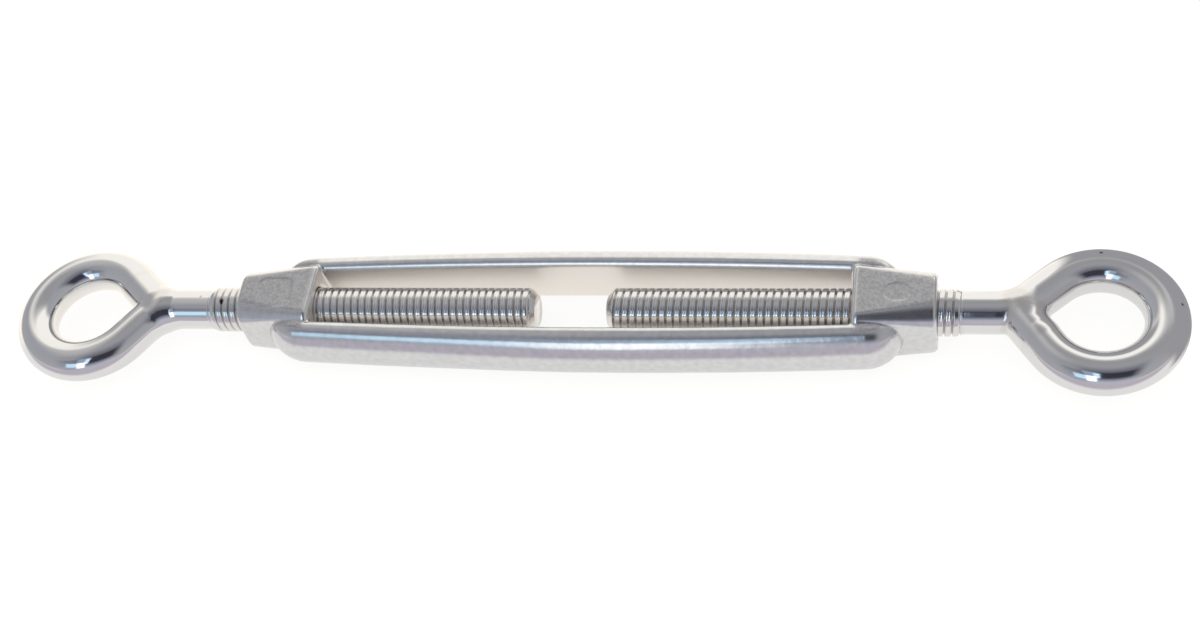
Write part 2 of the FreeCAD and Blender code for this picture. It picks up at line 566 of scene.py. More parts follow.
@dataclass(frozen=True)
class RolledThreadStainless(Finish):
    """Rolled stainless thread: bright burnished crests over duller grooves with painted shade, patchy by
    noise.
    """

    name: ClassVar[str] = "rolled_thread_stainless"
    crest_colour: str = "#E0DFDE"
    # painted shade: colour of the thread's grooves, darker and warmer than the crests
    groove_shade_colour: str = "#D6D2CD"
    # painted shade: dark colour of the small pits
    pit_shade_colour: str = "#4A3A2E"
    crest_roughness: float = 0.10
    groove_roughness: float = 0.24
    groove_shade_mm: float = 0.8
    least_groove_shade: float = 0.5
    burr_mm: float = 0.3
    burr_depth_mm: float = 0.004

    def surface(self, tree: Tree, place: Socket) -> Socket:
        """Crests, then the painted shade in the grooves, then the painted shade of the pits.

        Args:
            tree: node tree of the material.
            place: position on the piece, in metres.

        Returns:
            Socket with the finished shader.
        """
        groove = vertex_share(tree, "groove")
        # painted shade in the grooves, made patchy by noise
        groove_shade_patches = mapped(tree, noise(tree, place, self.groove_shade_mm, 4.0), (0.3, 0.7), (self.least_groove_shade, 1.0))
        unpitted = mixed(tree, maths(tree, "MULTIPLY", groove, groove_shade_patches), self.crest_colour, self.groove_shade_colour)
        # painted shade in the pits
        colour = mixed(tree, vertex_share(tree, "pit_shade"), unpitted, self.pit_shade_colour)
        roughness = mapped(tree, groove, to=(self.crest_roughness, self.groove_roughness))
        rolled = bumped(tree, noise(tree, place, self.burr_mm, 3.0), self.burr_depth_mm)
        return bare_metal(tree, colour, roughness, rolled)


@dataclass(frozen=True)
class WhitePaperSweep(Finish):
    """Matt white backdrop paper: near white to the eye, and it keeps a faint shadow.

    What the metal mirrors of it is paper with painted light and shade: cream behind most of the part, a
    neutral white before it and at its right end, and a cooler lavender where it runs out of the light to the
    camera.
    Round the far side of the right eye it has a painted grey shade, as if the card shaded it there. Each span
    runs from where its change starts to where it ends.
    """

    name: ClassVar[str] = "white_paper_sweep"
    colour: str = "#F2EFEA"
    back_colour: str = "#FEF9F0"
    near_colour: str = "#DDDDDE"
    far_colour: str = "#A09BAD"
    shaded_colour: str = "#76767B"
    back_mm: Span = (-10.0, 10.0)
    warm_mm: Span = (80.0, 58.0)
    far_mm: Span = (-22.0, -30.0)
    shaded_centre_mm: tuple[float, float, float] = (84.6, -1.5, -6.15)
    shaded_from_mm: Span = (12.0, 14.0)
    shaded_right_mm: Span = (70.0, 80.0)
    shaded_back_mm: Span = (-8.0, 0.0)
    fibre_mm: float = 1.5
    fibre_depth_mm: float = 0.02
    fibre_strength: float = 0.2
    seen_glow: float = 0.88
    mirrored_glow: float = 0.88
    mirrored_strength: float = 1.2

    def surface(self, tree: Tree, place: Socket) -> Socket:
        """Lit paper, mixed with a white glow to the eye and with its painted sheen to mirrors.

        Args:
            tree: node tree of the material.
            place: position on the piece, in metres.

        Returns:
            Socket with the finished shader.
        """
        fibre = noise(tree, place, self.fibre_mm, 3.0)
        tooth = bumped(tree, fibre, self.fibre_depth_mm, strength=self.fibre_strength)
        paper = add_node(tree, "ShaderNodeBsdfDiffuse", {"Color": self.colour, "Normal": tooth})
        seen = maths(tree, "MULTIPLY", seen_directly(tree), self.seen_glow)
        to_eye = blend(tree, seen, paper.outputs["BSDF"], glow(tree, "#FFFFFF", 1.0))
        # painted reflection: the paper glows to mirrors in painted light and shade
        painted_sheen = glow(tree, self.painted_sheen(tree, place), self.mirrored_strength)
        share = maths(tree, "MULTIPLY", mirrored(tree), self.mirrored_glow)
        return blend(tree, share, to_eye, painted_sheen)

    def painted_sheen(self, tree: Tree, place: Socket) -> Socket:
        """Colour that the metal mirrors of the paper, as painted light and shade.

        Args:
            tree: node tree of the material.
            place: position on the paper, in metres.

        Returns:
            Socket with the colour.
        """
        along, across, _ = add_node(tree, "ShaderNodeSeparateXYZ", {"Vector": place}).outputs
        centre = tuple(part * MM for part in self.shaded_centre_mm)
        apart = add_node(tree, "ShaderNodeVectorMath", {0: place, 1: centre}, operation="DISTANCE")
        away = apart.outputs["Value"]
        back = crossing(tree, across, self.back_mm)
        warm = maths(tree, "MULTIPLY", back, crossing(tree, along, self.warm_mm))
        near = mixed(tree, warm, self.near_colour, self.back_colour)
        unshaded = mixed(tree, crossing(tree, across, self.far_mm), near, self.far_colour)
        behind = crossing(tree, across, self.shaded_back_mm)
        corner = maths(tree, "MULTIPLY", behind, crossing(tree, along, self.shaded_right_mm))
        shaded = maths(tree, "MULTIPLY", corner, crossing(tree, away, self.shaded_from_mm))
        # painted shade: grey round the far side of the right eye
        return mixed(tree, shaded, unshaded, self.shaded_colour)


@dataclass(frozen=True)
class PaintedReflectionCard(Finish):
    """Grey card that glows only to mirrors, as a painted soft grey reflection in the metal; nothing else in
    the scene meets it.
    """

    name: ClassVar[str] = "painted_reflection_card"
    colour: str = "#9E9DA3"
    fleck_colour: str = "#99999D"
    fibre_mm: float = 2.0
    strength: float = 1.15

    def surface(self, tree: Tree, place: Socket) -> Socket:
        """Clear, except to mirrors where the card covers.

        Args:
            tree: node tree of the material.
            place: position on the piece, in metres.

        Returns:
            Socket with the finished shader.
        """
        fibre = noise(tree, place, self.fibre_mm, 2.0)
        # painted reflection: a grey glow that only mirrors see
        grey = glow(tree, mixed(tree, fibre, self.colour, self.fleck_colour), self.strength)
        share = maths(tree, "MULTIPLY", vertex_share(tree, "cover"), mirrored(tree))
        clear = add_node(tree, "ShaderNodeBsdfTransparent").outputs["BSDF"]
        return blend(tree, share, clear, grey)


# The cast frame

@dataclass
class CastFrame:
    """The open frame: two end blocks and two bowed bars of one casting, in mm.

    A span gives the place where a change starts and the place where it ends, and one whose name
    ends in `past_window` gives them beyond the window's end. The slopes of the masks are the part
    of the normal that faces up, to the axis, or to the middle.
    """

    half_length: float = 59.2
    block_length: float = 13.4
    block_height: float = 12.3
    end_width: float = 10.8
    window_width: float = 11.5
    end_corner: float = 3.9
    window_corner: float = 1.1
    end_round: float = 0.8
    window_round: float = 1.0
    bar_height: float = 10.0
    half_window_end: float = 5.3
    half_window_middle: float = 6.2
    bar_end: float = 4.6
    bar_middle: float = 4.95
    bar_inner_round: float = 1.3
    nose_start: float = 48.0
    nose_end: float = 54.0
    nose_tip: float = 4.5
    nose_tip_bulge: float = 0.15
    nose_last_share: float = 0.9995
    slope_beyond: float = 4.0
    bore_radius: float = 3.925
    bore_countersink: float = 0.5
    bore_edge: float = 0.25
    calm_round_bore: Span = (0.6, 1.6)
    ground_edge: float = 0.10
    ground_slant: float = 39.0
    ground_round: float = 0.3
    crease_fillet: float = 0.45
    throat_fillet: float = 0.95
    throat_width: Span = (6.6, 5.6)
    throat_start: float = 49.0
    left_slimness: float = 0.40
    slimness_span: Span = (5.0, -30.0)
    left_pad: tuple[float, float, float, float, float] = (-52.6, -0.7, 3.1, 3.0, 1.4)
    right_pad: tuple[float, float, float, float, float] = (53.0, -0.3, 2.1, 1.7, 1.6)
    pad_depth: float = 0.09
    pad_border: float = 0.2
    waviness: float = 0.03
    wave: float = 9.0
    wave_seed: int = 3
    satin_slope: Span = (0.86, 0.97)
    satin_past_window: Span = (0.2, 1.2)
    wall_slope: Span = (0.90, 0.99)
    wall_past_window: Span = (0.5, 0.0)
    mouth_slope: Span = (0.75, 0.97)
    mouth_past_window: Span = (1.5, 0.5)
    raw_width: Span = (9.0, 8.0)
    reach_across: float = 11.2
    cell: float = 0.30

    @property
    def window_end(self) -> float:
        """Distance from the middle to the window face of an end block."""
        return self.half_length - self.block_length

    def bow(self, middle: float, end: float, x: np.ndarray) -> np.ndarray:
        """Parabola that is `middle` at the centre and `end` at the window's ends."""
        return middle + (end - middle) * (x / self.window_end) ** 2

    def block(self, x: np.ndarray, y: np.ndarray, z: np.ndarray) -> np.ndarray:
        """Distance to both end blocks, from mirrored coordinates.

        Across X it is a rounded rectangle whose half width and corner change evenly from the
        window face to the outer face, with a flat ground a little into each corner. Both faces
        meet it in a quarter round.

        Args:
            x: distances from the middle along the screws.
            y: distances from the middle across the bars.
            z: distances from the middle upwards.

        Returns:
            Distances, negative inside.
        """
        share = (x - self.window_end) / self.block_length
        half_width = 0.5 * (self.window_width + (self.end_width - self.window_width) * share)
        corner = self.window_corner + (self.end_corner - self.window_corner) * share
        over_y = y - (half_width - corner)
        over_z = z - (0.5 * self.block_height - corner)
        outside = np.hypot(np.maximum(over_y, 0.0), np.maximum(over_z, 0.0))
        across = outside + np.minimum(np.maximum(over_y, over_z), 0.0) - corner
        slant = math.radians(self.ground_slant)
        ground = over_y * math.sin(slant) + over_z * math.cos(slant) - corner + self.ground_edge
        across = common(across, ground, self.ground_round)
        closed = common(across, x - self.half_length, self.end_round)
        return common(closed, self.window_end - x, self.window_round)

    def bar(self, x: np.ndarray, y: np.ndarray, z: np.ndarray, slimmer: np.ndarray) -> np.ndarray:
        """Distance to both bars, from mirrored coordinates.

        Across X a bar is a half ellipse on its outer side and a rectangle with round corners on
        its inner side, and it is thinner by `slimmer`. In the nose all its sizes shrink by the
        square root of 1 - share^2.

        Args:
            x: distances from the middle along the screws.
            y: distances from the middle across the bars.
            z: distances from the middle upwards.
            slimmer: what the bar lacks in thickness.

        Returns:
            Distances, negative inside.
        """
        thickness = self.bow(self.bar_middle, self.bar_end, x) - slimmer
        outer = self.bow(self.half_window_middle, self.half_window_end, x) + thickness
        share = (x - self.nose_start) / (self.nose_end - self.nose_start)
        share = np.clip(share, 0.0, self.nose_last_share)
        shrink = np.sqrt(1.0 - share * share)
        outer = self.nose_tip + (outer - self.nose_tip) * shrink
        fullness = self.nose_tip_bulge + (1 - self.nose_tip_bulge) * shrink
        bulge = (thickness - self.bar_inner_round) * fullness
        half_height = 0.5 * self.bar_height * shrink
        inner_round = self.bar_inner_round * shrink
        off = y - (outer - bulge)
        near = np.hypot(off / bulge, z / half_height)
        slope = np.hypot(off / bulge ** 2, z / half_height ** 2)
        oval = near * (near - 1.0) / np.maximum(slope, LEAST_SLOPE)
        over_z = z - (half_height - inner_round)
        flat = np.hypot(np.maximum(-off, 0.0), np.maximum(over_z, 0.0))
        flat = flat + np.minimum(np.maximum(-off, over_z), 0.0) - inner_round
        beyond = np.maximum(x - self.nose_end, 0.0)
        return np.where(off > 0.0, oval, flat) + self.slope_beyond * beyond

    def pads(self, points: Points) -> np.ndarray:
        """Depth of the two bare pads, sunk a little into the upper faces of the end blocks.

        Each is a rounded rectangle, given by its middle, its half sizes and its corner radius.

        Args:
            points: positions in mm.

        Returns:
            Depth at each point.
        """
        depth = np.zeros(len(points))
        for x, y, half_x, half_y, corner in (self.left_pad, self.right_pad):
            over_x = np.abs(points[:, 0] - x) - (half_x - corner)
            over_y = np.abs(points[:, 1] - y) - (half_y - corner)
            outside = np.hypot(np.maximum(over_x, 0.0), np.maximum(over_y, 0.0)) - corner
            depth += self.pad_depth * smooth_step(outside, self.pad_border, -self.pad_border)
        return depth * (points[:, 2] > 0.0)

    def shape(self, points: Points) -> np.ndarray:
        """Distance to the whole casting: bars filleted to blocks, less the bores, made uneven.

        Args:
            points: positions in mm.

        Returns:
            Distances, negative inside.
        """
        x, y, z = np.abs(points).T
        throat = smooth_step(y, *self.throat_width) * smooth_step(x, self.throat_start, self.window_end)
        fillet = self.crease_fillet + (self.throat_fillet - self.crease_fillet) * throat
        slimmer = self.left_slimness * smooth_step(points[:, 0], *self.slimness_span)
        solid = joined(self.block(x, y, z), self.bar(x, y, z, slimmer), fillet) + self.pads(points)
        mouth = np.minimum(np.abs(x - self.half_length), np.abs(x - self.window_end))
        bore = self.bore_radius + np.maximum(self.bore_countersink - mouth, 0.0)
        from_axis = np.hypot(y, z)
        calm_start, calm_end = self.calm_round_bore
        uneven = self.waviness * (0.5 + 0.5 * ripple(points, self.wave, self.wave_seed))
        uneven *= smooth_step(from_axis, self.bore_radius + calm_start, self.bore_radius + calm_end)
        return common(solid + uneven, bore - from_axis, self.bore_edge)

    def masks(self, vertices: Points, normals: Points) -> dict[str, np.ndarray]:
        """Where the casting is less polished than the outside of its bars.

        Args:
            vertices: positions in mm.
            normals: outward normals there.

        Returns:
            "satin", 1 on the flat faces of the end blocks, and "raw", 1 on the walls of the window.
        """
        past_window = np.abs(vertices[:, 0]) - self.window_end
        inwards = -normals * np.sign(vertices)
        flat = smooth_step(np.abs(normals[:, 2]), *self.satin_slope)
        wall = smooth_step(inwards[:, 1], *self.wall_slope)
        mouth = smooth_step(inwards[:, 0], *self.mouth_slope)
        wall = wall * smooth_step(past_window, *self.wall_past_window)
        mouth = mouth * smooth_step(past_window, *self.mouth_past_window)
        return {
            "satin": flat * smooth_step(past_window, *self.satin_past_window),
            "raw": np.maximum(wall, mouth) * smooth_step(np.abs(vertices[:, 1]), *self.raw_width),
        }

    def build(self, body: str, node: str, finish: TumbledCastStainless) -> bpy.types.Object:
        """Mesh the casting, dress it and let it stand for its CAD node.

        Args:
            body: body that it rides on.
            node: CAD node that it stands for.
            finish: its finish.

        Returns:
            The piece.
        """
        reach = np.array([self.half_length, self.reach_across, 0.5 * self.block_height])
        reach += FREE_CELLS * self.cell
        vertices, quads, normals = SurfaceNet(self.cell).build(self.shape, -reach, reach)
        piece = make_piece("cast_frame", vertices, [quads], normals, self.masks(vertices, normals))
        piece.data.materials.append(finish.make())
        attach(piece, body)
        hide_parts(node)
        return piece


# The eye bolts

def close_seams(mesh: bpy.types.Mesh) -> None:
    """Merge the vertices that stand within 0.0001 mm, and drop the faces that this empties.

    Args:
        mesh: the mesh, which is changed in place.
    """
    work = bmesh.new()
    work.from_mesh(mesh)
    bmesh.ops.remove_doubles(work, verts=work.verts, dist=1e-7)
    bmesh.ops.dissolve_degenerate(work, edges=work.edges, dist=1e-8)
    work.to_mesh(mesh)
    work.free()
    mesh.update()


def line_distance(points: Points, start: Points, end: Points) -> np.ndarray:
    """Distance in the plane from each point to the straight piece from start to end.

    Args:
        points: positions in the plane.
        start: first end of the piece.
        end: its other end.

    Returns:
        Distances.
    """
    along = end - start
    share = np.clip((points - start) @ along / (along @ along), 0.0, 1.0)
    offset = points - start - share[:, None] * along
    return np.hypot(offset[:, 0], offset[:, 1])


def arc_distance(
    points: Points, centre: Points, radius: float, middle: float, half_span: float
) -> np.ndarray:
    """Distance in the plane to the arc about centre that reaches half_span to both sides of middle.

    Args:
        points: positions in the plane.
        centre: centre of the arc.
        radius: its radius.
        middle: angle of its middle, in radians.
        half_span: half of the angle that it spans.

    Returns:
        Distances.
    """
    offset = points - centre
    angle = (np.arctan2(offset[:, 1], offset[:, 0]) - middle + math.pi) % (2.0 * math.pi) - math.pi
    nearest = middle + np.clip(angle, -half_span, half_span)
    return np.hypot(offset[:, 0] - radius * np.cos(nearest), offset[:, 1] - radius * np.sin(nearest))


@dataclass
class EyeBolt:
    """One bolt: a threaded rod whose other end is bent round into an eye and welded to the shank.

    It is worked out leaving the frame at +X, with its smooth strand at +Y, and turned end for
    end about Z where it leaves at -X. All sizes are in mm, and a span gives where a change starts
    and ends: along X from the apex (`crotch`), away from the weld or a pit, or in the gap between
    the two parts of the rod (`seam_gap`). The thread's `profile` gives places across one pitch with
    the share of the full depth there: a broad crest with a faint rolling seam, and a narrow groove.
    """

    name: str
    side: Side
    hand: ThreadHand
    free_end: float
    thread_end: float
    eye_centre: float
    eye_offset: float
    notch_fillet: float
    weld_fillet: float
    pits: tuple[tuple[float, float, float, float], ...]
    pitch: float = 1.25
    thread_diameter: float = 7.75
    thread_depth: float = 0.50
    thread_chamfer: float = 1.2
    profile: tuple[tuple[float, float], ...] = (
        (-0.35, 0.12), (-0.31, 0.02), (-0.27, 0.0), (-0.06, 0.0), (0.0, 0.03), (0.06, 0.0), (0.27, 0.0),
        (0.31, 0.02), (0.35, 0.12), (0.39, 0.40), (0.44, 0.84), (0.5, 1.0), (0.56, 0.84), (0.61, 0.40),
    )
    lead_turns: int = 2
    runout_turns: float = 1.3
    plain_inset: float = 0.02
    sharp_angle: float = 60.0
    rod_diameter: float = 7.0
    eye_radius: float = 9.9
    bend_radius: float = 9.0
    apex_distance: float = 13.0
    centre_line_lead: float = 1.5
    shank_lead: float = 1.0
    shank_end_round: float = 0.3
    crotch: Span = (-1.5, 2.5)
    weld_offset: tuple[float, float, float] = (1.0, -1.0, 0.0)
    weld_reach: Span = (5.0, 7.5)
    least_fillet: float = 1e-4
    seam_gap: Span = (0.3, 0.9)
    seam_raggedness: float = 0.25
    seam_wave: float = 1.6
    seam_seed: int = 8
    pit_border: Span = (-0.08, 0.12)
    waviness: float = 0.02
    wave: float = 7.0
    wave_seed: int = 5
    cell: float = 0.25
    around: int = 64

    @property
    def leans(self) -> tuple[float, float]:
        """Angles between the shank and the flowing and the welded strand, which touch the loop.

        Returns:
            The two angles, in radians.
        """
        aim = math.atan2(self.eye_offset, self.apex_distance)
        opening = math.asin(self.eye_radius / math.hypot(self.apex_distance, self.eye_offset))
        return opening + aim, opening - aim

    @property
    def apex(self) -> float:
        """Place on the axis where the two strands' centre lines meet."""
        return self.eye_centre - self.apex_distance

    def turned(self, vectors: Points) -> Points:
        """Vectors turned end for end about Z where the bolt leaves at -X."""
        return vectors * np.array([self.side.value, self.side.value, 1.0])

    def strands(self, points: Points) -> tuple[np.ndarray, np.ndarray]:
        """Distances to the two parts of the rod that the weld joins.

        Args:
            points: positions in mm.

        Returns:
            Distance to the flowing part, which is shank, bend, strand and loop, and distance to
            the straight strand that is welded to the shank.
        """
        flat = points[:, :2]
        lean, welded_lean = self.leans
        setback = self.bend_radius * math.tan(lean / 2.0)
        bend_start = np.array([self.apex - setback, 0.0])
        bend_end = np.array([self.apex + setback * math.cos(lean), setback * math.sin(lean)])
        centre = np.array([self.eye_centre, self.eye_offset])
        touch = centre + self.eye_radius * np.array([-math.sin(lean), math.cos(lean)])
        end = centre - self.eye_radius * np.array([math.sin(welded_lean), math.cos(welded_lean)])
        bend_centre = np.array([bend_start[0], self.bend_radius])
        loop_middle = (lean - welded_lean) / 2.0
        half_loop = (math.pi + lean + welded_lean) / 2.0
        flowing = np.minimum.reduce([
            line_distance(flat, np.array([self.thread_end - self.centre_line_lead, 0.0]), bend_start),
            arc_distance(flat, bend_centre, self.bend_radius, (lean - math.pi) / 2.0, lean / 2.0),
            line_distance(flat, bend_end, touch),
            arc_distance(flat, centre, self.eye_radius, loop_middle, half_loop),
        ])
        welded = line_distance(flat, np.array([self.apex, 0.0]), end)
        radius = 0.5 * self.rod_diameter
        height = points[:, 2]
        return np.hypot(flowing, height) - radius, np.hypot(welded, height) - radius

    def near_weld(self, points: Points) -> np.ndarray:
        """Share from 1 at the weld to 0 where the strands are bare rod."""
        middle = np.array([self.apex, 0.0, 0.0]) + self.weld_offset
        return 1.0 - smooth_step(np.linalg.norm(points - middle, axis=1), *self.weld_reach)

    def shape(self, points: Points) -> np.ndarray:
        """Distance to shank and eye: wide fillet inside the crotch, sharp notch outside it.

        Args:
            points: positions in mm.

        Returns:
            Distances, negative inside.
        """
        flowing, welded = self.strands(points)
        inside = smooth_step(points[:, 0], self.apex + self.crotch[0], self.apex + self.crotch[1])
        reach = self.notch_fillet + (self.weld_fillet - self.notch_fillet) * inside
        fillet = np.maximum(reach * self.near_weld(points), self.least_fillet)
        solid = joined(flowing, welded, fillet)
        uneven = self.waviness * (0.5 + 0.5 * ripple(points, self.wave, self.wave_seed))
        start = self.thread_end - self.shank_lead - points[:, 0]
        return common(solid + uneven, start, self.shank_end_round)

    def weld_mask(self, points: Points) -> np.ndarray:
        """Share of weld metal at each point: where both parts of the rod are close.

        Args:
            points: positions in mm.

        Returns:
            Shares from 0 to 1.
        """
        flowing, welded = self.strands(points)
        ragged = self.seam_raggedness * ripple(points, self.seam_wave, self.seam_seed)
        gap = np.abs(flowing - welded) + ragged
        return (1.0 - smooth_step(gap, *self.seam_gap)) * self.near_weld(points)

    def pit_shade_mask(self, points: Points) -> np.ndarray:
        """Share of painted pit shade at each point, from the distance to the nearest pit and its radius.

        Args:
            points: positions in mm.

        Returns:
            Shares from 0 to 1.
        """
        spots = np.array(self.pits)
        away = np.linalg.norm(points[:, None, :] - spots[None, :, :3], axis=2) - spots[:, 3]
        return 1.0 - smooth_step(away.min(axis=1), *self.pit_border)

    def build_eye(self, body: str, node: str, finish: PolishedRodStainless) -> bpy.types.Object:
        """Mesh shank and eye, and dress them.

        Args:
            body: body that they ride on.
            node: CAD node that they stand for.
            finish: their finish.

        Returns:
            The piece.
        """
        half_width = self.eye_radius + 0.5 * self.rod_diameter
        margin = FREE_CELLS * self.cell
        side = half_width + abs(self.eye_offset)
        low = np.array([self.thread_end - self.shank_lead, -side, -0.5 * self.rod_diameter]) - margin
        high = np.array([self.eye_centre + half_width, side, 0.5 * self.rod_diameter]) + margin
        vertices, quads, normals = SurfaceNet(self.cell).build(self.shape, low, high)
        masks = {"weld": self.weld_mask(vertices), "pit_shade": self.pit_shade_mask(vertices)}
        piece = make_piece(self.name + "_eye", self.turned(vertices), [quads], self.turned(normals), masks)
        piece.data.materials.append(finish.make())
        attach(piece, body)
        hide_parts(node)
        return piece

    def build_thread(self, body: str, node: str, finish: RolledThreadStainless) -> bpy.types.Object:
        """Mesh the thread and dress it.

        The surface is a grid of rows across the profile and columns round the axis. A point of
        row i and column j stands at x = pitch (place of i + hand j / columns) past the free end,
        so each row is a helix and meets itself one pitch on. The radius is the crest radius less
        the row's depth, held under a cone at the free end and fading into the plain rod.

        Args:
            body: body that it rides on.
            node: CAD node that it stands for.
            finish: its finish.

        Returns:
            The piece.
        """
        places, depths = np.array(self.profile).T
        rows_a_turn = len(places)
        turns = math.ceil((self.thread_end - self.free_end) / self.pitch) + self.lead_turns + 1
        start = self.free_end - self.lead_turns * self.pitch
        turn_number = np.repeat(np.arange(turns), rows_a_turn)
        column = np.arange(self.around)
        along = turn_number + np.tile(places, turns)
        x = start + self.pitch * (along[:, None] + self.hand.value * column / self.around)
        x = np.clip(x, self.free_end, self.thread_end)
        depth = np.tile(depths, turns)[:, None] * np.ones(self.around)
        fade = smooth_step(x, self.thread_end, self.thread_end - self.runout_turns * self.pitch)
        crest = 0.5 * self.thread_diameter
        plain = 0.5 * self.rod_diameter - self.plain_inset
        radius = plain + fade * (crest - self.thread_depth * depth - plain)
        radius = np.minimum(radius, crest - self.thread_chamfer + (x - self.free_end))
        angle = 2.0 * math.pi * column / self.around
        grid = np.stack([x, radius * np.cos(angle), radius * np.sin(angle)], axis=-1)
        faces = self._thread_faces(len(along), rows_a_turn)
        ends = np.array([[self.free_end, 0.0, 0.0], [self.thread_end, 0.0, 0.0]])
        vertices = np.concatenate([grid.reshape(-1, 3), ends])
        groove = np.concatenate([(depth * fade).ravel(), np.zeros(2)])
        masks = {"groove": groove, "pit_shade": self.pit_shade_mask(vertices)}
        piece = make_piece(self.name + "_thread", self.turned(vertices), faces, None, masks)
        close_seams(piece.data)
        piece.data.set_sharp_from_angle(angle=math.radians(self.sharp_angle))
        piece.data.materials.append(finish.make())
        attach(piece, body)
        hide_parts(node)
        return piece

    def _thread_faces(self, rows: int, rows_a_turn: int) -> list[np.ndarray]:
        """Quads of the thread's grid and the fans that close its two ends.

        Args:
            rows: number of rows in the grid.
            rows_a_turn: rows in one pitch, by which a row is shifted where it meets itself.

        Returns:
            Quads, and triangles round the two middle points that follow the grid's vertices.
        """
        columns = self.around
        row, column = np.meshgrid(np.arange(rows - 1), np.arange(columns), indexing="ij")
        row, column = row.ravel(), column.ravel()
        shift = np.where(column == columns - 1, self.hand.value * rows_a_turn, 0)
        fits = (row + shift >= 0) & (row + shift + 1 < rows)
        row, column, shift = row[fits], column[fits], shift[fits]
        here = row * columns + column
        beside = (row + shift) * columns + (column + 1) % columns
        quads = np.stack([here, beside, beside + columns, here + columns], axis=1)
        first = np.arange(columns)
        second = (first + 1) % columns
        last = (rows - 1) * columns
        middle = rows * columns
        free_fan = np.stack([np.full(columns, middle), second, first], axis=1)
        hidden_fan = np.stack([np.full(columns, middle + 1), last + first, last + second], axis=1)
        return [quads, free_fan, hidden_fan]


# Studio

@dataclass
class StudioCamera:
    """Camera where the photograph was taken from, in degrees and mm.

    It looks along the direction given by azimuth (0 looks along +Y, more moves it towards +X) and
    elevation, and is then rolled clockwise. The frame's middle lies at `offset` from it: to the
    right, down and forward in its own directions.
    """

    lens_mm: float = 52.98
    azimuth: float = 20.75
    elevation: float = 52.61
    roll: float = 16.47
    offset: tuple[float, float, float] = (-2.605, -0.678, 296.47)
    frame_shift: float = 0.894

    def build(self) -> bpy.types.Object:
        """Place the camera and make it the scene's own.

        Returns:
            The camera object.
        """
        azimuth, elevation, roll = np.radians([self.azimuth, self.elevation, self.roll])
        forward = np.array([
            -np.sin(azimuth) * np.cos(elevation), np.cos(azimuth) * np.cos(elevation), -np.sin(elevation),
        ])
        level = np.array([np.cos(azimuth), np.sin(azimuth), 0.0])
        downward = np.cross(forward, level)
        right = np.cos(roll) * level + np.sin(roll) * downward
        down = -np.sin(roll) * level + np.cos(roll) * downward
        turn = np.stack([right, down, forward])
        place = np.array([self.frame_shift, 0.0, 0.0]) - turn.T @ np.array(self.offset)
        columns = np.eye(4)
        columns[:3, :3] = np.stack([right, -down, -forward], axis=1)
        columns[:3, 3] = place * MM
        data = bpy.data.cameras.new("photo_camera")
        data.sensor_width = 36.0
        data.sensor_fit = "HORIZONTAL"
        data.lens = self.lens_mm
        data.clip_start = 0.01
        data.clip_end = 20.0
        camera = bpy.data.objects.new("photo_camera", data)
        camera.matrix_world = Matrix(columns.tolist())
        bpy.context.scene.collection.objects.link(camera)
        bpy.context.scene.camera = camera
        return camera


@dataclass(frozen=True)
class LightPanel:
    """Softbox in the room, as a patch of directions.

    `x` is the X part of a direction and `angle` its angle in degrees from straight up towards the
    camera's side. Each has a middle, a half width and a soft border.
    """

    x: tuple[float, float, float]
    angle: tuple[float, float, float]
    colour: str
    strength: float


